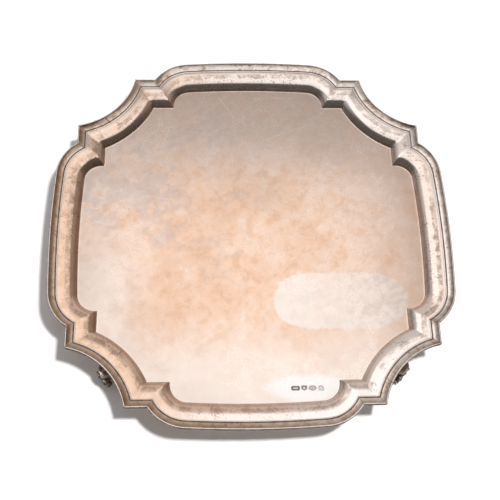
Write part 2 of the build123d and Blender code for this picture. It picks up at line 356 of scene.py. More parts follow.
class Flow:
    """A socket in a node tree, so that masks and sums are written as plain expressions."""

    def __init__(self, tree, socket):
        self.tree = tree
        self.socket = socket

    def __add__(self, other):
        return self.tree.maths("ADD", self, other)

    def __radd__(self, other):
        return self.tree.maths("ADD", other, self)

    def __sub__(self, other):
        return self.tree.maths("SUBTRACT", self, other)

    def __rsub__(self, other):
        return self.tree.maths("SUBTRACT", other, self)

    def __mul__(self, other):
        return self.tree.maths("MULTIPLY", self, other)

    def __rmul__(self, other):
        return self.tree.maths("MULTIPLY", other, self)

    def __truediv__(self, other):
        return self.tree.maths("DIVIDE", self, other)

    def __pow__(self, other):
        return self.tree.maths("POWER", self, other)

    def at_most(self, other):
        return self.tree.maths("MINIMUM", self, other)

    def at_least(self, other):
        return self.tree.maths("MAXIMUM", self, other)

    def between(self, low, high):
        """0 below low, 1 above high, and smooth between them. A low above high turns it round."""
        return self.tree.node("ShaderNodeMapRange", {"interpolation_type": "SMOOTHSTEP"},
                              {"Value": self, "From Min": low, "From Max": high})


class Tree:
    """A node tree, built up node by node."""

    def __init__(self, group):
        self.group = group

    def node(self, kind, settings=None, values=None, output=0):
        """Add a node: its settings first, then the values or links of its sockets."""
        made = self.group.nodes.new(kind)
        for key, value in (settings or {}).items():
            setattr(made, key, value)
        for key, value in (values or {}).items():
            if isinstance(value, Flow):
                self.group.links.new(value.socket, made.inputs[key])
            else:
                made.inputs[key].default_value = value
        return Flow(self, made.outputs[output])

    def maths(self, operation, first, second=0.0):
        return self.node("ShaderNodeMath", {"operation": operation}, {0: first, 1: second})

    def vectors(self, operation, first, second, output=0):
        return self.node("ShaderNodeVectorMath", {"operation": operation}, {0: first, 1: second}, output)

    def vector(self, **parts):
        return self.node("ShaderNodeCombineXYZ", values=parts)

    def part(self, vector, axis):
        return self.node("ShaderNodeSeparateXYZ", values={0: vector}, output=axis)

    def end(self, kind, socket, flow):
        """Link a flow to the tree's output node."""
        self.group.links.new(flow.socket, self.group.nodes.new(kind).inputs[socket])


# ---- silver ------------------------------------------------------------------------------------------


class Finish(Tree):
    """The shader tree of a material or of the room."""

    def __init__(self, owner, coordinates="Object"):
        owner.use_nodes = True
        super().__init__(owner.node_tree)
        self.owner = owner
        self.group.nodes.clear()
        self.place = self.node("ShaderNodeTexCoord", output=coordinates)
        self.x = self.part(self.place, "X")
        self.y = self.part(self.place, "Y")

    def mix(self, first, second, share):
        """Blend two colours."""
        return self.node("ShaderNodeMix", {"data_type": "RGBA"}, {0: share, 6: first, 7: second}, output=2)

    def cloud(self, size, detail=4.0, roughness=0.55, offset=(0.0, 0.0, 0.0), warp=0.0):
        """Soft clouds of a size in metres."""
        place = self.vectors("ADD", self.place, offset)
        return self.node("ShaderNodeTexNoise", None, {
            "Vector": place, "Scale": 1 / size, "Detail": detail, "Roughness": roughness, "Distortion": warp})

    def cells(self, settings, place, spacing):
        """Distances in a field of scattered cells."""
        values = {"Vector": place, "Scale": 1 / spacing, "Randomness": 1.0}
        return self.node("ShaderNodeTexVoronoi", settings, values, output="Distance")

    def scratches(self, spacing, width, offset):
        """Straight scratches at every angle: the borders of scattered cells, mostly faded away."""
        place = self.vectors("ADD", self.place, offset)
        border = self.cells({"feature": "DISTANCE_TO_EDGE", "voronoi_dimensions": "2D"}, place, spacing)
        kept = self.cloud(spacing * 0.7, 1.0, 0.4, offset).between(0.50, 0.60)
        return border.between(width / spacing, 0.3 * width / spacing) * kept

    def pits(self, spacing, size):
        """Small round pits, scattered."""
        middles = self.cells({"feature": "F1"}, self.place, spacing)
        return middles.between(size / spacing, 0.4 * size / spacing)

    def ellipse(self, middle, reach, squareness=2.0):
        """0 in the middle and 1 on the ellipse round it, whose ends more squareness makes blunt."""
        off_x = (self.x - middle[0]) / reach[0]
        off_y = (self.y - middle[1]) / reach[1]
        return off_x**squareness + off_y**2.0

    def attribute(self, name):
        return self.node("ShaderNodeAttribute", {"attribute_name": name}, output="Fac")

    def bump(self, height, strength, distance, **under):
        values = {"Height": height, "Strength": strength, "Distance": distance, **under}
        return self.node("ShaderNodeBump", None, values, output="Normal")

    def close(self, kind, shader):
        """Finish the tree with its output node."""
        self.end(kind, "Surface", shader)
        return self.owner

    def metal(self, colour, roughness, normal, dirt):
        """Close the tree with a metal shader, dull where the dirt mask lies, which also carries painted
        shade.
        """
        shader = self.node("ShaderNodeBsdfPrincipled", None, {
            "Base Color": colour, "Metallic": 1.0 - dirt * 0.8, "Roughness": roughness.at_least(dirt * 0.6),
            "Normal": normal}, output="BSDF")
        return self.close("ShaderNodeOutputMaterial", shader)

    def hairlines(self):
        """Scratches and wipe marks from years of use."""
        total = self.scratches(0.034, 0.00022, (0.1, 0.2, 0.0))
        total = total.at_least(self.scratches(0.021, 0.00016, (0.3, 0.7, 0.0)) * 0.8)
        total = total.at_least(self.scratches(0.049, 0.00028, (0.8, 0.4, 0.0)))
        return total.at_least(self.scratches(0.013, 0.00014, (0.5, 0.9, 0.0)) * 0.6)


def silver(name):
    return Finish(bpy.data.materials.new(name))


class TrayTarnish:
    """What lies on the tray's silver, from the widest clouds to the finest grain, with some painted light and
    shade.
    """

    def __init__(self, finish, paint):
        self.finish = finish
        self.paint = paint
        self.across = finish.attribute("across")
        self.large = finish.cloud(0.075, 3.0, 0.5, (0.31, 0.12, 0.0), 0.5)
        self.middle = finish.cloud(0.020, 4.5, 0.62, (0.02, 0.44, 0.0), 0.9)
        self.other = finish.cloud(0.034, 4.5, 0.62, (0.52, 0.84, 0.3), 0.6)
        self.small = finish.cloud(0.0062, 3.0, 0.6, (0.7, 0.1, 0.2), 0.4)
        self.fine = finish.cloud(0.0014, 3.0, 0.6, (0.3, 0.5, 0.1))
        self.patchy = (self.middle * 0.5 + self.small * 0.5).between(0.42, 0.56)

    def warmth(self, heart):
        clouds = (self.large - 0.5) * 0.9 + (self.middle - 0.5) * 1.2 + (self.small - 0.5) * 0.8
        return (clouds + 0.36 + heart * 0.38).between(0.0, 1.0)

    def greyness(self):
        return (self.other * 0.4 + self.large * 0.6 + (self.small - 0.5) * 0.3).between(0.40, 0.60)

    def field(self, heart, warm, film):
        """The field's colour."""
        x, y, mix, paint = self.finish.x, self.finish.y, self.finish.mix, self.paint
        middle, other, small = self.middle, self.other, self.small
        # warm clouds, deepest over the middle and left of the field
        colour = mix(paint.rose, paint.peach, warm)
        deep = (middle * 0.5 + small * 0.5).between(0.50, 0.64) * heart
        colour = mix(colour, paint.amber, deep * 0.24)
        # cool grey clouds at the left, and grey towards the back: partly a thin grey film, partly painted
        # shade
        cool = (other * 0.75 + small * 0.25).between(0.50, 0.60) * x.between(0.03, -0.04)
        cool = cool * y.between(-0.06, 0.0)
        colour = mix(colour, paint.mist, cool * 0.42)
        colour = mix(colour, paint.smoke, (film * 0.4 + 0.25) * y.between(0.0, 0.115))
        # pale spots, painted light at the front left, a front that is partly wiped silver and partly a
        # painted reflection, a paler oval at the right and a painted highlight round the marks
        spots = (other * 0.4 + middle * 0.6).between(0.40, 0.33) * y.between(0.06, 0.0)
        colour = mix(colour, paint.pale, spots * 0.5)
        # painted light: the front left of the field made paler
        lit_left = x.between(-0.06, -0.12) * y.between(0.02, -0.03)
        colour = mix(colour, paint.pale, lit_left * (0.4 + other * 0.6))
        # the front of the field made paler: partly wiped silver, partly a painted reflection
        wiped_and_lit = (y + (other - 0.5) * 0.06).between(-0.055, -0.125)
        colour = mix(colour, paint.pale, wiped_and_lit * 0.85)
        oval = self.finish.ellipse((0.066, -0.054), (0.051, 0.0228), 4.0) + (small - 0.5) * 0.35
        inside = mix(paint.pale, paint.clean, x.between(0.062, 0.022) * 0.5 + other.between(0.42, 0.62) * 0.4)
        inside = mix(inside, paint.smoke, x.between(0.058, 0.09) * small.between(0.4, 0.65) * 0.35)
        colour = mix(colour, inside, oval.between(1.08, 0.86) * 0.75)
        # painted highlight: the key light's glow round the marks, in near-white silver
        painted_glow = self.finish.ellipse((0.038, -0.1205), (0.030, 0.010)) + (other - 0.5) * 0.8
        colour = mix(colour, paint.painted_glow, painted_glow.between(1.4, 0.4) * 0.8)
        grain = (self.fine * 0.5 + small * 0.5).between(0.42, 0.62)
        return mix(colour, paint.umber, grain * 0.05 * (1.0 - wiped_and_lit * 0.5))

    def border(self, raised):
        """The border's colour: neutral at the right and back, brown at the left and front left."""
        x, y, mix, paint = self.finish.x, self.finish.y, self.finish.mix, self.paint
        across, middle, other, small, patchy = self.across, self.middle, self.other, self.small, self.patchy
        leftward = (x * -0.8 - y * 0.35 + (self.large - 0.5) * 0.10).between(-0.09, 0.13)
        backward = y.between(0.08, 0.13)
        rightward = x.between(0.11, 0.14)
        forward = y.between(-0.07, -0.13)
        colour = mix(paint.clean, paint.rose, 0.25 + middle * 0.4 + rightward * 0.4)
        colour = mix(colour, paint.peach, leftward * 0.7)
        colour = mix(colour, paint.amber, leftward * (0.15 + small.between(0.42, 0.65) * 0.35))
        wiped_front = forward * x.between(-0.09, -0.02) * across.between(0.35, 0.5)
        colour = mix(colour, paint.clean, wiped_front * 0.7)
        # a soft grey band beside the moulding at the back corners
        corners = (x**2.0 + y**2.0).between(0.018, 0.0205) * y.between(0.0, 0.05)
        colour = mix(colour, paint.smoke, across.between(0.58, 0.61) * corners * 0.6)
        # a ragged brown tide line, nearer the field along the front
        tide_edge = across + forward.at_least(leftward) * 0.17 + (small - 0.5) * 0.22 + (middle - 0.5) * 0.12
        tide = tide_edge.between(0.40, 0.46) * tide_edge.between(0.62, 0.58)
        at_back = backward.at_least(rightward * 0.4) * (0.30 + patchy * 0.42) * (1.0 - corners)
        colour = mix(colour, paint.umber, tide * (0.06 + patchy * 0.36 + at_back))
        specks = (self.fine * 0.7 + small * 0.3).between(0.53, 0.62)
        specks = specks * across.between(0.7, 0.55) * other.between(0.44, 0.58)
        colour = mix(colour, paint.umber, specks * 0.65)
        # brown at the foot of the wall: dirt, and painted shade of the steep wall
        foot = (across + (small - 0.5) * 0.12).between(0.20, 0.03) * raised
        return mix(colour, paint.umber, foot * (0.18 + leftward * 0.22 + patchy * 0.2))


def tray_silver(paint):
    """The tray: clouded warm tarnish on the field, browner in the border, scratches, nicks and dirt, with
    painted light on the field's front and left, a painted highlight round the marks and painted shade on the
    edge.
    """
    finish = silver("tray_silver_tarnish_and_painted_light")
    tarnish = TrayTarnish(finish, paint)
    raised = tarnish.across.between(0.0, 0.05)
    heart = finish.ellipse((-0.022, -0.012), (0.13, 0.10)).between(1.25, 0.1)
    warm = tarnish.warmth(heart)
    film = tarnish.greyness()
    colour = finish.mix(tarnish.field(heart, warm, film), tarnish.border(raised), raised)

    hair = finish.hairlines()
    pits = finish.pits(0.022, 0.0006)
    colour = finish.mix(colour, paint.fresh, hair * 0.45)
    # painted shade: the tray's outer edge under the bead darkened
    shaded_tray_edge = tarnish.across.between(0.972, 0.98) * (0.75 + tarnish.small * 0.3)
    dirt_and_shade = (pits * 0.6).at_least(finish.attribute("dirt")).at_least(shaded_tray_edge)
    colour = finish.mix(colour, paint.soot_and_shade, dirt_and_shade * 0.95)

    roughness = 0.24 + tarnish.large * 0.05 + warm * 0.03 + film * 0.04 + hair * 0.1 - raised * 0.07
    swell = finish.cloud(0.05, 1.0, 0.4, (0.4, 0.6, 0.0)) + finish.cloud(0.012, 1.0, 0.4) * 0.1
    waves = finish.bump(swell, 0.3, 0.0012)
    marks = finish.cloud(0.004, 1.0, 0.4) * 0.08 - hair * 0.2 - pits * 0.5
    normal = finish.bump(marks, 0.16, 0.0002, Normal=waves)
    return finish.metal(colour, roughness, normal, dirt_and_shade)


def moulding_silver(paint):
    """The moulding: a brown hollow with painted shade towards the bead, a bright bead and lip, dirt and
    painted shade in the quirk, painted shade under the bead and on the outer edge, and dirt at the solder
    joints.
    """
    finish = silver("moulding_silver_tarnish_and_painted_shade")
    x, y, mix = finish.x, finish.y, finish.mix
    across = finish.attribute("across")
    large = finish.cloud(0.07, 3.0, 0.5, (0.31, 0.12, 0.0), 0.5)
    middle = finish.cloud(0.018, 5.0, 0.65, (0.2, 0.5, 0.0), 0.6)
    small = finish.cloud(0.0045, 4.0, 0.7, (0.4, 0.3, 0.1), 0.4)
    fine = finish.cloud(0.0013, 3.0, 0.6, (0.3, 0.5, 0.1))

    leftward = (x * -0.8 - y * 0.5 + (large - 0.5) * 0.10).between(-0.08, 0.12)
    hollow = across.between(0.14, 0.24) * across.between(0.92, 0.74)
    colour = mix(paint.clean, paint.rose, 0.2 + middle * 0.5)
    stained = leftward * 0.75 + (middle * 0.5 + small * 0.5).between(0.46, 0.60) * 0.4
    colour = mix(colour, paint.amber, (hollow * stained).at_most(0.85))
    # painted shade: the hollow darker brown towards the bead, strongest on the sides other than the back and
    # deeper at the left and right; then ragged dark tarnish patches
    # the sides other than the back, where the painted shade is strongest
    facing = y.between(0.135, 0.10)
    shaded = across.between(0.75, 0.20) * across.between(0.13, 0.19) * (0.25 + facing * 0.75)
    brown = 0.36 + leftward * 0.22 + x.between(0.11, 0.14) * 0.3 + small.between(0.42, 0.6) * 0.25
    colour = mix(colour, paint.umber, shaded * brown)
    patches = (small * 0.55 + fine * 0.45).between(0.52, 0.60) * middle.between(0.42, 0.56)
    colour = mix(colour, paint.umber, patches * 0.7 * hollow.at_least(0.4))

    # the darkening: dirt and painted shade in the quirk, painted shade below the bead and along the ragged
    # outer edge, strongest on the sides other than the back, and dirt at the joints
    ragged = (small * 0.5 + fine * 0.5).between(0.42, 0.54)
    # dirt and painted shade: the quirk darkened
    quirk = across.between(0.712, 0.745) * across.between(0.915, 0.890) * (0.88 + ragged * 0.12)
    # painted shade: the ragged outer edge under the bead darkened
    shaded_outer_edge = across.between(0.070, 0.045) * (0.75 + ragged * 0.25) * (0.35 + facing * 0.65)
    dirt_and_shade = quirk.at_least(finish.attribute("recess") * 0.8).at_least(finish.attribute("joint") * 0.5)
    dirt_and_shade = dirt_and_shade.at_least(shaded_outer_edge)
    colour = mix(colour, paint.soot_and_shade, dirt_and_shade * 0.95)
    roughness = 0.15 + small * 0.12 + stained * 0.06 + dirt_and_shade * 0.3
    waves = finish.bump(middle, 0.3, 0.0006)
    normal = finish.bump(small * 0.6 + fine * 0.3, 0.22, 0.00015, Normal=waves)
    return finish.metal(colour, roughness, normal, dirt_and_shade)


def foot_silver(paint):
    """The feet: cast silver, dark all over with tarnish and painted shade, and lighter on its high places
    with wear and a painted highlight.
    """
    finish = silver("foot_silver_cast")
    worn = finish.node("ShaderNodeNewGeometry", output="Pointiness")
    fine = finish.cloud(0.0025, 4.0, 0.65)
    high = worn.between(0.52, 0.60)
    # painted shade and tarnish: a dark base all over the foot
    colour = finish.mix(paint.soot_and_shade, paint.umber, 0.1 + fine * 0.6)
    # lighter high places: wear, and a painted highlight
    colour = finish.mix(colour, paint.rose, high * 0.8)
    roughness = 0.30 - high * 0.08 + fine * 0.1
    normal = finish.bump(fine, 0.3, 0.00015)
    return finish.metal(colour, roughness, normal, (1.0 - high) * 0.35)


# ---- tray ---------------------------------------------------------------------------------------------

EDGE_ROUND = 0.2 * MM                   # taken off the corners of the tray's edge
FIELD_MARGIN = 1.2 * MM                 # flat ring of faces inside the border
HAMMER_WAVE = 22 * MM                   # length of the waves that the hammer leaves
MARK_GAP = 1.25 * MM                    # between two punch marks
MARK_DIRT = (0.95, 0.85, 0.6, 0.4)      # how much dirt each mark holds


def bend(stations, radius, slope_from, slope_to, sense, steps):
    """Carry the border's section round a bend, as (distance out, height, slope)."""
    for step in range(1, steps + 1):
        start = slope_from + (slope_to - slope_from) * (step - 1) / steps
        end = slope_from + (slope_to - slope_from) * step / steps
        run, rise, _ = stations[-1]
        run += sense * radius * (sin(end) - sin(start))
        rise += sense * radius * (cos(start) - cos(end))
        stations.append((run, rise, end))


def border_stations(tray, moulding, seat_rise):
    """Points up the top of the border from the field: distance out, height over the field, slope."""
    crown_run = tray.crown_radius * (sin(tray.wall_slope) - sin(tray.crown_slope))
    crown_rise = tray.crown_radius * (cos(tray.crown_slope) - cos(tray.wall_slope))
    width = tray.border_width - moulding.width - tray.fillet_radius * sin(tray.wall_slope) - crown_run
    height = seat_rise - tray.fillet_radius * (1 - cos(tray.wall_slope)) - crown_rise
    run_share = sin(tray.crown_slope) - sin(tray.rim_slope)
    rise_share = cos(tray.rim_slope) - cos(tray.crown_slope)
    steepness = tan(tray.wall_slope)
    cove_radius = (width * steepness - height) / (run_share * steepness - rise_share)
    wall_run = width - cove_radius * run_share

    stations = [(0.0, 0.0, 0.0)]
    bend(stations, tray.fillet_radius, 0.0, tray.wall_slope, 1, 7)
    run, rise, slope = stations[-1]
    stations.append((run + wall_run / 2, rise + wall_run / 2 * steepness, slope))
    stations.append((run + wall_run, rise + wall_run * steepness, slope))
    bend(stations, tray.crown_radius, tray.wall_slope, tray.crown_slope, -1, 10)
    bend(stations, cove_radius, tray.crown_slope, tray.rim_slope, -1, 12)
    return stations


def punch_shapes(punch):
    """The four plain marks: centre, half width, and a signed distance that is negative inside."""
    half = punch.height / 2

    def octagon(x, y, wide):
        return max(abs(x) - wide, abs(y) - half * 0.85, (abs(x) + abs(y)) - (wide + half * 0.55))

    def shield(x, y, wide):
        return max(abs(x) - wide, y - half, abs(x) - 1.7 * (y + half))

    def oval(x, y, wide):
        return (hypot(x / wide, y / half) - 1) * half

    def arch(x, y, wide):
        top = hypot(x, y - (half - wide)) - wide
        return max(abs(x) - wide, -half - y, top if y > half - wide else -wide)

    widths = (3.0 * MM, 2.0 * MM, 2.75 * MM, 2.0 * MM)
    shapes = []
    left = punch.row_start
    for shape, wide in zip((octagon, shield, oval, arch), widths):
        shapes.append((left + wide, wide, shape))
        left += 2 * wide + MARK_GAP
    return shapes, left - MARK_GAP


def punch_height(x, y, shapes, punch):
    """Height of the struck field at a point, and how much dirt lies there."""
    height, dirt = 0.0, 0.0
    for number, (middle, wide, shape) in enumerate(shapes):
        u, v = x - middle, y - punch.row_line
        inside = -shape(u, v, wide)
        ground = smoothstep(-0.05 * MM, 0.25 * MM, inside)
        # a plain device stands on each ground: a bar, a pellet, a ring and a lozenge
        devices = (
            0.45 * MM - abs(v) if abs(u) < wide * 0.6 else -1.0,
            0.75 * MM - hypot(u, v),
            0.3 * MM - abs(hypot(u, v) - 0.9 * MM),
            0.8 * MM - (abs(u) + abs(v)),
        )
        device = smoothstep(-0.1 * MM, 0.15 * MM, devices[number])
        burr = exp(-((inside / (0.2 * MM)) ** 2)) if inside < 0.05 * MM else 0.0
        height += punch.depth * (0.12 * burr - ground * (1 - 0.7 * device))
        edge = exp(-(((inside - 0.15 * MM) / (0.3 * MM)) ** 2))
        dirt = max(dirt, max(edge, ground * (1 - device)) * MARK_DIRT[number])
    return height, dirt


def add_ring(bm, points, height, across, layer):
    ring = []
    for point in points:
        vertex = bm.verts.new((point.x, point.y, height))
        vertex[layer] = across
        ring.append(vertex)
    return ring


def join_rings(bm, lower, upper):
    """Quads between two rings of equal count."""
    for index in range(len(lower)):
        after = (index + 1) % len(lower)
        bm.faces.new((lower[index], lower[after], upper[after], upper[index]))


def ring_edges(bm, ring):
    return [bm.edges.get((ring[i], ring[(i + 1) % len(ring)])) for i in range(len(ring))]


def punched_patch(bm, field_top, punch, across_layer, dirt_layer):
    """The fine patch of field that carries the marks. Returns its outer ring of vertices."""
    shapes, row_end = punch_shapes(punch)
    margin = 0.9 * MM
    low_x, high_x = punch.row_start - margin, row_end + margin
    low_y, high_y = punch.row_line - punch.height / 2 - margin, punch.row_line + punch.height / 2 + margin
    columns = round((high_x - low_x) / punch.cell)
    rows = round((high_y - low_y) / punch.cell)
    grid = []
    for column in range(columns + 1):
        line = []
        for row in range(rows + 1):
            x = low_x + (high_x - low_x) * column / columns
            y = low_y + (high_y - low_y) * row / rows
            height, dirt = punch_height(x, y, shapes, punch)
            rim = column in (0, columns) or row in (0, rows)
            vertex = bm.verts.new((x, y, field_top + (0.0 if rim else height)))
            vertex[dirt_layer] = dirt
            line.append(vertex)
        grid.append(line)
    for column in range(columns):
        for row in range(rows):
            bm.faces.new((grid[column][row], grid[column + 1][row], grid[column + 1][row + 1],
                          grid[column][row + 1]))
    front = [line[0] for line in grid]
    right = grid[-1][1:]
    back = [line[-1] for line in reversed(grid)][1:]
    left = list(reversed(grid[0]))[1:-1]
    return front + right + back + left


def build_tray(settings, material):
    """Raise the tray: one closed sheet, its top, edge and underside."""
    tray, moulding = settings.tray, settings.moulding
    line = EdgeLine(settings.outline)
    field_top = TRAY_LOW.z + tray.sheet
    seat_rise = TRAY_HIGH.z - field_top
    stations = border_stations(tray, moulding, seat_rise)
    bm = bmesh.new()
    across_layer = bm.verts.layers.float.new("across")
    dirt_layer = bm.verts.layers.float.new("dirt")

    def hammered(points, height, strength):
        """Let the height wander slightly, as hammered sheet does."""
        wander = []
        for point in points:
            where = Vector((point.x, point.y, 0)) / HAMMER_WAVE
            wander.append(height + strength * tray.unevenness * noise.noise(where))
        return wander

    rings = []
    for run, rise, slope in stations:
        points = line.ring(tray.border_width - run)
        ring = add_ring(bm, points, field_top + rise, run / tray.border_width, across_layer)
        strength = smoothstep(0.5 * MM, 4 * MM, rise) * (1 - smoothstep(0.9, 1.0, rise / seat_rise))
        for vertex, height in zip(ring, hammered(points, field_top + rise, strength)):
            vertex.co.z = height
        rings.append(ring)
    # under the moulding, then the edge with its corners taken off
    seat = field_top + seat_rise
    edge_section = (
        (moulding.width, seat),
        (tray.edge_setback + EDGE_ROUND, seat),
        (tray.edge_setback, seat - EDGE_ROUND),
        (tray.edge_setback, seat - tray.sheet + EDGE_ROUND),
        (tray.edge_setback + EDGE_ROUND, seat - tray.sheet),
    )
    for inset, height in edge_section:
        across = 1 - inset / tray.border_width
        rings.append(add_ring(bm, line.ring(inset), height, across, across_layer))
    for run, rise, slope in reversed(stations):
        inset = tray.border_width - run - tray.sheet * sin(slope)
        height = field_top + rise - tray.sheet * cos(slope)
        rings.append(add_ring(bm, line.ring(inset), height, run / tray.border_width, across_layer))
    for lower, upper in zip(rings, rings[1:]):
        join_rings(bm, lower, upper)

    # the field and the underside of the field
    inner = add_ring(bm, line.ring(tray.border_width + FIELD_MARGIN), field_top, 0.0, across_layer)
    join_rings(bm, inner, rings[0])
    patch = punched_patch(bm, field_top, settings.punch, across_layer, dirt_layer)
    bmesh.ops.triangle_fill(bm, edges=ring_edges(bm, inner) + ring_edges(bm, patch), use_beauty=True)
    beneath = add_ring(bm, line.ring(tray.border_width + FIELD_MARGIN), TRAY_LOW.z, 0.0, across_layer)
    join_rings(bm, rings[-1], beneath)
    bmesh.ops.triangle_fill(bm, edges=ring_edges(bm, beneath), use_beauty=True)
    bmesh.ops.recalc_face_normals(bm, faces=bm.faces)
    return object_from(bm, "salver_tray", material)


# ---- applied moulding -----------------------------------------------------------------------------------


def moulding_section(moulding):
    """The moulding's closed section: (share of the width, height over the seat, darkening by dirt and painted
    shade in its hollows).
    """
    radius = moulding.bead_radius
    bead_height = moulding.height - radius
    points = [(radius, 0.0, 1.0)]
    bead_steps = 22
    bead_start, bead_end = radians(-90), radians(-378)
    for step in range(bead_steps + 1):
        angle = bead_start + (bead_end - bead_start) * step / bead_steps
        # painted shade under the bead
        recess = smoothstep(radians(-150), radians(-100), angle)
        worn = min(bead_height + radius * sin(angle), moulding.height - moulding.bead_wear)
        points.append((radius + radius * cos(angle), worn, recess))
    quirk_inner = moulding.width - moulding.lip_width
    quirk_outer = quirk_inner - moulding.quirk_width
    start_x, start_z = points[-1][0], points[-1][1]
    hollow_steps = 14
    for step in range(1, hollow_steps + 1):
        share = step / hollow_steps
        sag = moulding.hollow_sag * 4 * share * (1 - share)
        x = start_x + (quirk_outer - start_x) * share
        points.append((x, start_z + (moulding.hollow_foot - start_z) * share - sag, 0.0))
    # dirt and painted shade at the bottom of the quirk
    points.append(((quirk_outer + quirk_inner) / 2, moulding.hollow_foot - moulding.quirk_depth, 0.6))
    # the lip rolls over gently to the tray
    lip_steps = 8
    lip_start = radians(2)
    lip_end = 2 * atan2(moulding.hollow_foot, moulding.lip_width) - lip_start
    lip_radius = moulding.lip_width / (sin(lip_end) - sin(lip_start))
    for step in range(lip_steps + 1):
        slope = lip_start + (lip_end - lip_start) * step / lip_steps
        x = quirk_inner + lip_radius * (sin(slope) - sin(lip_start))
        points.append((x, moulding.hollow_foot - lip_radius * (cos(lip_start) - cos(slope)), 0.0))
    return [(x / moulding.width, height, recess) for x, height, recess in points]


class Shape(Tree):
    """A Geometry Nodes tree with named inputs."""

    def __init__(self, name, inputs):
        super().__init__(bpy.data.node_groups.new(name, "GeometryNodeTree"))
        for label, kind, default in inputs:
            socket = self.group.interface.new_socket(label, in_out="INPUT", socket_type=kind)
            if default is not None:
                socket.default_value = default
        self.group.interface.new_socket("Geometry", in_out="OUTPUT", socket_type="NodeSocketGeometry")
        self.inputs = self.group.nodes.new("NodeGroupInput")

    def given(self, label):
        return Flow(self, self.inputs.outputs[label])

    def joined(self, pieces):
        joined = self.node("GeometryNodeJoinGeometry")
        for piece in pieces:
            self.group.links.new(piece.socket, joined.socket.node.inputs[0])
        return joined

    def close(self, geometry):
        """Make the instances real, give them the material and finish the tree."""
        realized = self.node("GeometryNodeRealizeInstances", values={"Geometry": geometry})
        values = {"Geometry": realized, "Material": self.given("Material")}
        self.end("NodeGroupOutput", "Geometry", self.node("GeometryNodeSetMaterial", values=values))
        return self

    def run(self, name, values):
        """Run the tree on an empty mesh and keep the result as a plain mesh."""
        host = bpy.data.objects.new(name, bpy.data.meshes.new(name))
        bpy.context.collection.objects.link(host)
        modifier = host.modifiers.new("shape", "NODES")
        modifier.node_group = self.group
        for item in self.group.interface.items_tree:
            if item.in_out == "INPUT" and item.name in values:
                modifier[item.identifier] = values[item.name]
        evaluated = host.evaluated_get(bpy.context.evaluated_depsgraph_get())
        mesh = bpy.data.meshes.new_from_object(evaluated)
        host.modifiers.remove(modifier)
        bpy.data.objects.remove(host)
        return mesh


def sweep_between_rails():
    """Sweep a closed section along two rails, so that both ends are cut along the line between the rails."""
    made = Shape("moulding_between_rails", (
        ("Outer Rail", "NodeSocketObject", None),
        ("Inner Rail", "NodeSocketObject", None),
        ("Section", "NodeSocketObject", None),
        ("Seat Height", "NodeSocketFloat", 0.0),
        ("Joint Length", "NodeSocketFloat", 0.001),
        ("Material", "NodeSocketMaterial", None),
    ))
    outer, inner, section = (
        made.node("GeometryNodeObjectInfo", values={"Object": made.given(label)}, output="Geometry")
        for label in ("Outer Rail", "Inner Rail", "Section"))
    position = made.node("GeometryNodeInputPosition")
    index = made.node("GeometryNodeInputIndex")

    def count(curve):
        return made.node("GeometryNodeAttributeDomainSize", {"component": "CURVE"}, {"Geometry": curve},
                         output="Point Count")

    def sample(curve, at):
        return made.node("GeometryNodeSampleIndex", {"data_type": "FLOAT_VECTOR", "domain": "POINT"},
                         {"Geometry": curve, "Value": position, "Index": at})

    along_count, around_count = count(outer), count(section)
    last = along_count - 1.0

    def swept(geometry, along, around):
        """Put each point where its step along the rails and its step round the section say."""
        across, height, recess = (made.part(sample(section, around), axis) for axis in "XYZ")
        on_rails = made.node("ShaderNodeMix",
                             {"data_type": "VECTOR", "factor_mode": "UNIFORM", "clamp_factor": False},
                             {0: across, 4: sample(outer, along), 5: sample(inner, along)}, output=1)
        lift = made.vector(Z=height + made.given("Seat Height"))
        # how near the point is to the end of its length, for the dirt in the joints
        to_start, to_end = (
            made.vectors("DISTANCE", sample(outer, along), sample(outer, end), "Value") for end in (0, last))
        joint = made.node("ShaderNodeMapRange", None, {
            "Value": to_start.at_most(to_end), "From Min": made.given("Joint Length"), "From Max": 0.0})
        for name, value in (("across", across), ("recess", recess), ("joint", joint)):
            geometry = made.node("GeometryNodeStoreNamedAttribute", {"data_type": "FLOAT", "domain": "POINT"},
                                 {"Geometry": geometry, "Name": name, "Value": value})
        return made.node("GeometryNodeSetPosition",
                         values={"Geometry": geometry, "Position": made.vectors("ADD", on_rails, lift)})

    grid = made.node("GeometryNodeMeshGrid", values={"Vertices X": along_count, "Vertices Y": around_count},
                     output="Mesh")
    along = made.maths("FLOOR", index / around_count)
    pieces = [swept(grid, along, made.maths("MODULO", index, around_count))]
    for at in (0, last):
        cap = made.node("GeometryNodeMeshCircle", {"fill_type": "NGON"}, {"Vertices": around_count - 1.0})
        pieces.append(swept(cap, at, index))
    weld = {"Geometry": made.joined(pieces), "Distance": 0.002 * MM}
    return made.close(made.node("GeometryNodeMergeByDistance", values=weld))


def rail(name, points):
    """A helper curve through plain points."""
    curve = bpy.data.curves.new(name, "CURVE")
    curve.dimensions = "3D"
    spline = curve.splines.new("POLY")
    spline.points.add(len(points) - 1)
    for place, point in zip(spline.points, points):
        place.co = (*point, 1)
    helper = bpy.data.objects.new(name, curve)
    bpy.context.collection.objects.link(helper)
    return helper


def trimmed(points, gap):
    """A rail with both its ends drawn in by a gap."""
    ends = list(points)
    for end, beside in ((0, 1), (-1, -2)):
        along = (ends[beside] - ends[end]).normalized()
        ends[end] = ends[end] + along * gap
    return ends


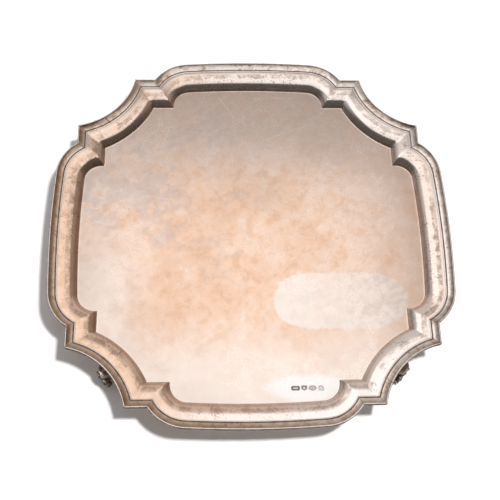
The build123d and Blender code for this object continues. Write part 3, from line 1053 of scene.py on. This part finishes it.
def moulding_lengths(line):
    """Every length of moulding: its piece name, its CAD node, and its two rails as a function of inset."""
    lengths = []

    def add(node, quarter, path):
        lengths.append((node, lambda inset: turned(path(inset), quarter)))

    def mirrored_step(inset):
        return [Vector((-point.x, point.y)) for point in reversed(line.step(inset))]

    for quarter in range(4):
        side, corner, next_corner = SIDES[quarter], CORNERS[quarter], CORNERS[(quarter + 1) % 4]
        add(f"{side}_moulding", quarter, line.side)
        add(f"{side}_step_by_{corner}_corner", quarter, line.step)
        add(f"{side}_step_by_{next_corner}_corner", quarter, mirrored_step)
    for corner in ("back_right", "front_left"):
        add(f"{corner}_corner_moulding", CORNERS.index(corner), line.corner_arc)
    return lengths


def seamed_corners(line):
    """The two corners that are made up in two lengths, with the place of their seam along the arc."""
    lengths = []
    for corner, seam in (("back_left", 0.33), ("front_right", 0.76)):
        quarter = CORNERS.index(corner)
        for part, start, end in (("first", 0.0, seam), ("second", seam, 1.0)):
            lengths.append((
                f"{corner}_corner_{part}_length",
                lambda inset, quarter=quarter, start=start, end=end: turned(
                    line.corner_arc(inset, start, end), quarter),
            ))
    return lengths


def build_mouldings(settings, material):
    """Sweep all eighteen lengths of moulding and fix each to the salver."""
    moulding = settings.moulding
    line = EdgeLine(settings.outline)
    sweep = sweep_between_rails()
    section_points = moulding_section(moulding)
    section = rail("section_guide", section_points + section_points[:1])
    for node, path in moulding_lengths(line) + seamed_corners(line):
        outer, inner = (
            rail("guide", [(p.x, p.y, 0) for p in trimmed(path(inset), moulding.joint_gap / 2)])
            for inset in (0, moulding.width))
        mesh = sweep.run(node, {
            "Outer Rail": outer, "Inner Rail": inner, "Section": section, "Seat Height": TRAY_HIGH.z,
            "Joint Length": moulding.joint_dirt, "Material": material,
        })
        bm = taken_from(mesh)
        bmesh.ops.recalc_face_normals(bm, faces=bm.faces)
        hold_piece(object_from(bm, f"silver_{node}", material), "moulding_silver", node)
        for helper in (outer, inner):
            bpy.data.curves.remove(helper.data)
    bpy.data.curves.remove(section.data)


# ---- feet ------------------------------------------------------------------------------------------------

LEG_STEPS = 12


def shell_fan():
    """A shell of tapered lobes, spread like a fan from one point."""
    made = Shape("shell_fan", (
        ("Lobes", "NodeSocketInt", 7),
        ("Spread", "NodeSocketFloat", 1.2),
        ("Length", "NodeSocketFloat", 0.006),
        ("Lobe Width", "NodeSocketFloat", 0.001),
        ("Material", "NodeSocketMaterial", None),
    ))
    points = made.node("GeometryNodeMeshLine", {"mode": "OFFSET", "count_mode": "TOTAL"},
                       {"Count": made.given("Lobes"), "Offset": (0.0, 0.0, 0.0)})
    share = made.node("GeometryNodeInputIndex") / (made.given("Lobes") - 1.0) - 0.5
    lobe = made.node("GeometryNodeMeshUVSphere", values={"Segments": 16, "Rings": 12, "Radius": 1.0},
                     output="Mesh")
    half, width = made.given("Length") * 0.5, made.given("Lobe Width")
    lobe = made.node("GeometryNodeTransform", values={
        "Geometry": lobe, "Translation": made.vector(Z=half), "Scale": made.vector(X=width, Y=width, Z=half)})
    # the lobes widen away from the point of the fan
    place = made.node("GeometryNodeInputPosition")
    swell = made.node("ShaderNodeMapRange", None, {
        "Value": made.part(place, "Z"), "From Min": 0.0, "From Max": made.given("Length"),
        "To Min": 0.35, "To Max": 1.35})
    widened = made.vectors("MULTIPLY", place, made.vector(X=swell, Y=swell, Z=1.0))
    lobe = made.node("GeometryNodeSetPosition", values={"Geometry": lobe, "Position": widened})
    turn = made.vector(X=share * made.given("Spread"))
    return made.close(made.node("GeometryNodeInstanceOnPoints",
                                values={"Points": points, "Instance": lobe, "Rotation": turn}))


def direction(points, position):
    """Which way a line runs at one of its points."""
    before = points[max(position - 1, 0)]
    after = points[min(position + 1, len(points) - 1)]
    return (after - before).normalized()


def skin(bm, rings):
    """Cover a row of rings of points and close its two ends."""
    rings = [[bm.verts.new(point) for point in ring] for ring in rings]
    for lower, upper in zip(rings, rings[1:]):
        join_rings(bm, lower, upper)
    bm.faces.new(rings[0])
    bm.faces.new(rings[-1])


def round_angles(segments):
    return [2 * pi * segment / segments for segment in range(segments)]


def add_band(bm, centres, radii, widths):
    """The leg: a closed band with round edges, through points that each have a radius and a half width."""

    def squared(value):
        return abs(value) ** 0.7 * (1 if value >= 0 else -1)

    rings = []
    for position, (centre, radius, width) in enumerate(zip(centres, radii, widths)):
        along = direction(centres, position)
        outward = Vector((along.z, 0, -along.x))
        ring = []
        for a in round_angles(20):
            offset = outward * (radius * squared(cos(a))) + Vector((0, width * squared(sin(a)), 0))
            ring.append(centre + offset)
        rings.append(ring)
    skin(bm, rings)


def add_roll(bm, middle, radius, half_width, waist):
    """A scroll's roll: a round bar across the foot, narrower at its waist."""
    steps = 14
    rings = []
    for step in range(steps + 1):
        share = -1 + 2 * step / steps
        here = radius * (waist + (1 - waist) * share**2)
        rings.append([middle + Vector((here * cos(a), half_width * share, here * sin(a)))
                      for a in round_angles(28)])
    skin(bm, rings)


def add_volute(bm, middle, radius, side, thickness, turns=1.6):
    """A spiral bead on the end of a roll."""
    steps = 36
    centres = []
    for step in range(steps + 1):
        share = step / steps
        bearing = -QUARTER + 2 * pi * turns * share
        reach = radius * (1 - 0.8 * share)
        rise = side * 0.35 * thickness * share
        centres.append(middle + Vector((reach * cos(bearing), rise, reach * sin(bearing))))
    across = Vector((0, 1, 0))
    rings = []
    for position, centre in enumerate(centres):
        outward = direction(centres, position).cross(across).normalized()
        bead = thickness * (1 - 0.35 * position / steps)
        rings.append([centre + outward * (bead * cos(a)) + across * (bead * sin(a))
                      for a in round_angles(10)])
    skin(bm, rings)


def through(points, steps):
    """A smooth line through a few points."""
    padded = [points[0] * 2 - points[1]] + points + [points[-1] * 2 - points[-2]]
    line = []
    for span in range(len(points) - 1):
        a, b, c, d = padded[span:span + 4]
        for step in range(steps):
            t = step / steps
            line.append(0.5 * ((2 * b) + (c - a) * t + (2 * a - 5 * b + 4 * c - d) * t**2
                               + (3 * b - a - 3 * c + d) * t**3))
    return line + [points[-1]]


def add_drum(bm, place, segments, radii=(1.0, 1.0), depth=1.0, stretch=(1.0, 1.0, 1.0)):
    """An upright drum, its radii given at the bottom and at the top."""
    drum = bmesh.ops.create_cone(bm, cap_ends=True, segments=segments, radius1=radii[0], radius2=radii[1],
                                 depth=depth)
    bmesh.ops.scale(bm, verts=drum["verts"], vec=stretch)
    bmesh.ops.translate(bm, verts=drum["verts"], vec=place)


def foot_parts(foot, edge, fan, material):
    """Leg, rolls, volutes, pad, plate and shell, loose in one bmesh, with the foot facing along +X."""
    top = FOOT_TOP
    bm = bmesh.new()
    toe = Vector((edge + foot.toe_reach, 0, foot.pad_height + foot.toe_radius))
    knee = Vector((edge + foot.knee_reach - 2.6 * MM, 0, top - 5.6 * MM))
    ankle = Vector((edge - 2.4 * MM, 0, toe.z + 4.4 * MM))
    root = Vector((edge - 3.2 * MM, 0, top - 0.8 * MM))
    # half thickness and half width of the leg, in millimetres, at the root, knee, ankle and toe
    leg_section = [Vector((2.4, 6.6, 0)), Vector((2.3, 4.2, 0)), Vector((1.5, 2.5, 0)), Vector((1.8, 3.4, 0))]
    path = through([root, knee, ankle, toe + Vector((-0.8 * MM, 0, 0.6 * MM))], LEG_STEPS)
    sections = through(leg_section, LEG_STEPS)
    add_band(bm, path, [s.x * MM for s in sections], [s.y * MM for s in sections])
    # toe: a waisted roll with a volute on each end
    half_toe = foot.toe_width / 2 - 1.0 * MM
    add_roll(bm, toe, foot.toe_radius * 0.86, half_toe, 0.72)
    for side in (-1, 1):
        add_volute(bm, toe + Vector((0, side * half_toe, 0)), foot.toe_radius * 0.78, side, 0.72 * MM)
    # knuckle: a smaller roll under the shell, with beads at its ends
    knuckle = Vector((edge + foot.knee_reach - 1.2 * MM, 0, top - 10.2 * MM))
    add_roll(bm, knuckle, 1.35 * MM, 4.6 * MM, 0.8)
    for side in (-1, 1):
        add_volute(bm, knuckle + Vector((0, side * 4.7 * MM, 0)), 1.25 * MM, side, 0.55 * MM, 1.2)
    # pad, flat on the table, and plate soldered up under the rim
    pad_rise = foot.pad_height + foot.toe_radius * 0.6
    add_drum(bm, (toe.x, 0, pad_rise / 2), 40, radii=(2.9 * MM, 2.4 * MM), depth=pad_rise)
    plate = (2.6 * MM, foot.fan_width * 0.34, 1.2 * MM)
    add_drum(bm, (edge - 3.4 * MM, 0, top - plate[2] / 2), 48, stretch=plate)
    # the shell on the front of the knee
    shell = fan.run("shell", {"Lobes": foot.fan_lobes, "Spread": foot.fan_spread, "Length": foot.lobe_length,
                              "Lobe Width": foot.lobe_width, "Material": material})
    lean = Matrix.Rotation(-foot.fan_lean, 4, "Y")
    shell.transform(Matrix.Translation((edge + foot.knee_reach - 1.9 * MM, 0, top - 9.4 * MM)) @ lean)
    bm.from_mesh(shell)
    bpy.data.meshes.remove(shell)
    bmesh.ops.recalc_face_normals(bm, faces=bm.faces)
    return bm


def cast_in_one(bm, name, grain):
    """Merge loose parts into a single casting."""
    pattern = bpy.data.objects.new(name, bpy.data.meshes.new(name))
    bm.to_mesh(pattern.data)
    bm.free()
    bpy.context.collection.objects.link(pattern)
    merge = pattern.modifiers.new("cast", "REMESH")
    merge.mode = "VOXEL"
    merge.voxel_size = grain
    polish = pattern.modifiers.new("polish", "SMOOTH")
    polish.factor = 0.5
    polish.iterations = 2
    cast = bpy.data.meshes.new_from_object(pattern.evaluated_get(bpy.context.evaluated_depsgraph_get()))
    bpy.data.objects.remove(pattern)
    return cast


def build_foot(settings, name, quarter, fan, material):
    """One foot, stood on its diagonal."""
    foot = settings.foot
    parts = foot_parts(foot, EdgeLine(settings.outline).diagonal_edge, fan, material)
    cast = cast_in_one(parts, name, foot.grain)
    cast.transform(Matrix.Rotation(radians(45) + QUARTER * quarter, 4, "Z"))
    # nothing stands above the rim's underside or below the table
    for vertex in cast.vertices:
        vertex.co.z = min(max(vertex.co.z, 0.0), FOOT_TOP)
    return object_from(taken_from(cast), f"silver_{name}", material, radians(60))


# ---- operators --------------------------------------------------------------------------------------------


def settings_of(context):
    return context.scene.salver


def view_from(studio, field_top):
    """The camera's turn and place."""
    right, up = Vector(studio.camera_side).normalized(), Vector(studio.camera_up).normalized()
    back = right.cross(up)
    place = Vector(studio.camera_place) + Vector((0, 0, field_top))
    view = Matrix((right, up, back)).transposed().to_4x4()
    view.translation = place
    return view


def room_light(studio):
    """A plain room that is pale behind and dark in front, a little cooler at the left than at the right."""
    room = Finish(bpy.data.worlds.new("room"), "Generated")
    height = room.part(room.place, "Z")
    left = room.mix(studio.room_low_left, studio.room_left, height.between(0.15, 0.6))
    sides = room.mix(left, studio.room_right, room.x.between(-0.5, 0.5))
    colour = room.mix(sides, studio.room_back, room.y.between(0.45, 0.8))
    colour = room.mix(studio.room_front, colour, room.y.between(-0.25, 0.3))
    glow = room.node("ShaderNodeBackground", None, {"Color": colour, "Strength": 1.0}, output="Background")
    return room.close("ShaderNodeOutputWorld", glow)


def hang_lamp(name, watts, size, place, aim=None):
    """A flat lamp that the camera doesn't see, aimed at the middle of the salver or straight down."""
    lamp = bpy.data.lights.new(name, "AREA")
    lamp.shape = "RECTANGLE"
    lamp.energy = watts
    lamp.size, lamp.size_y = size
    held = bpy.data.objects.new(name, lamp)
    held.location = place
    if aim is not None:
        held.rotation_euler = (aim - held.location).to_track_quat("-Z", "Y").to_euler()
    held.visible_camera = False
    bpy.context.collection.objects.link(held)
    return held


def build_floor(studio):
    """The pale floor under the salver."""
    half = studio.floor_size / 2
    mesh = bpy.data.meshes.new("floor")
    corners = [(-half, -half, 0), (half, -half, 0), (half, half, 0), (-half, half, 0)]
    mesh.from_pydata(corners, [], [(0, 1, 2, 3)])
    finish = Finish(bpy.data.materials.new("floor_matt"))
    matt = finish.node("ShaderNodeBsdfPrincipled", None,
                       {"Base Color": studio.floor_colour, "Roughness": 0.9}, output="BSDF")
    mesh.materials.append(finish.close("ShaderNodeOutputMaterial", matt))
    floor = bpy.data.objects.new("floor", mesh)
    bpy.context.collection.objects.link(floor)
    return floor


class SALVER_OT_stage(bpy.types.Operator):
    """Set up the camera, the pale floor and the soft lights"""

    bl_idname = "salver.stage"
    bl_label = "Set the Stage"

    def execute(self, context):
        studio = settings_of(context).studio
        camera_data = bpy.data.cameras.new("camera")
        camera_data.lens = studio.lens
        camera_data.sensor_width = 36
        camera_data.clip_start = 0.01
        camera = bpy.data.objects.new("camera", camera_data)
        camera.matrix_world = view_from(studio, TRAY_LOW.z + settings_of(context).tray.sheet)
        context.collection.objects.link(camera)
        context.scene.camera = camera
        context.scene.view_settings.view_transform = "Standard"

        build_floor(studio)

        middle = Vector((0, 0, 0))
        key_size = (studio.key_size, studio.key_size)
        hang_lamp("card", studio.card_power, (studio.card_width, studio.card_depth),
                  (studio.card_shift, studio.card_depth / 2 - studio.card_front, studio.card_height))
        key = hang_lamp("key", studio.key_power, key_size, studio.key_place, middle)
        key.visible_glossy = False
        glint = hang_lamp("glint", studio.glint_power, key_size, studio.key_place, middle)
        glint.visible_diffuse = False
        fill_size = (studio.fill_width, studio.fill_depth)
        fill = hang_lamp("fill", studio.fill_power, fill_size, studio.fill_place, middle)
        fill.visible_glossy = False
        fill.data.color = studio.fill_colour
        context.scene.world = room_light(studio)
        return {"FINISHED"}


class SALVER_OT_tray(bpy.types.Operator):
    """Raise the tray from one sheet"""

    bl_idname = "salver.tray"
    bl_label = "Raise the Tray"

    def execute(self, context):
        settings = settings_of(context)
        hold_piece(build_tray(settings, tray_silver(settings.silver)), "tray_silver", "tray")
        return {"FINISHED"}


class SALVER_OT_mouldings(bpy.types.Operator):
    """Sweep and fit the lengths of applied moulding"""

    bl_idname = "salver.mouldings"
    bl_label = "Fit the Mouldings"

    def execute(self, context):
        settings = settings_of(context)
        build_mouldings(settings, moulding_silver(settings.silver))
        return {"FINISHED"}


class SALVER_OT_feet(bpy.types.Operator):
    """Cast and fit the four scroll feet"""

    bl_idname = "salver.feet"
    bl_label = "Fit the Feet"

    def execute(self, context):
        settings = settings_of(context)
        material = foot_silver(settings.silver)
        fan = shell_fan()
        for quarter, corner in enumerate(CORNERS):
            name = f"{corner}_foot"
            hold_piece(build_foot(settings, name, quarter, fan, material), "foot_silver", name)
        return {"FINISHED"}


class SALVER_PT_sidebar(bpy.types.Panel):
    """Lists the salver's operators and sizes"""

    bl_label = "Salver"
    bl_idname = "SALVER_PT_sidebar"
    bl_space_type = "VIEW_3D"
    bl_region_type = "UI"
    bl_category = "Salver"

    def draw(self, context):
        for operator in OPERATORS:
            self.layout.operator(operator.bl_idname)
        settings = settings_of(context)
        for group_name in ("outline", "tray", "moulding", "foot", "punch", "silver", "studio"):
            group = getattr(settings, group_name)
            box = self.layout.box()
            box.label(text=group_name.capitalize())
            for size in group.bl_rna.properties:
                if not size.is_readonly and size.identifier != "name":
                    box.prop(group, size.identifier)


GROUPS = (SalverOutline, TraySizes, MouldingSizes, FootSizes, PunchSizes, SilverColours, Studio,
          SalverSettings)
OPERATORS = (SALVER_OT_stage, SALVER_OT_tray, SALVER_OT_mouldings, SALVER_OT_feet)
CLASSES = GROUPS + OPERATORS + (SALVER_PT_sidebar,)


def register():
    for made in CLASSES:
        bpy.utils.register_class(made)
    bpy.types.Scene.salver = PointerProperty(type=SalverSettings)


def unregister():
    del bpy.types.Scene.salver
    for made in reversed(CLASSES):
        bpy.utils.unregister_class(made)


def main():
    register()
    bpy.ops.salver.stage()
    bpy.ops.salver.tray()
    bpy.ops.salver.mouldings()
    bpy.ops.salver.feet()


if __name__ == "__main__":
    main()
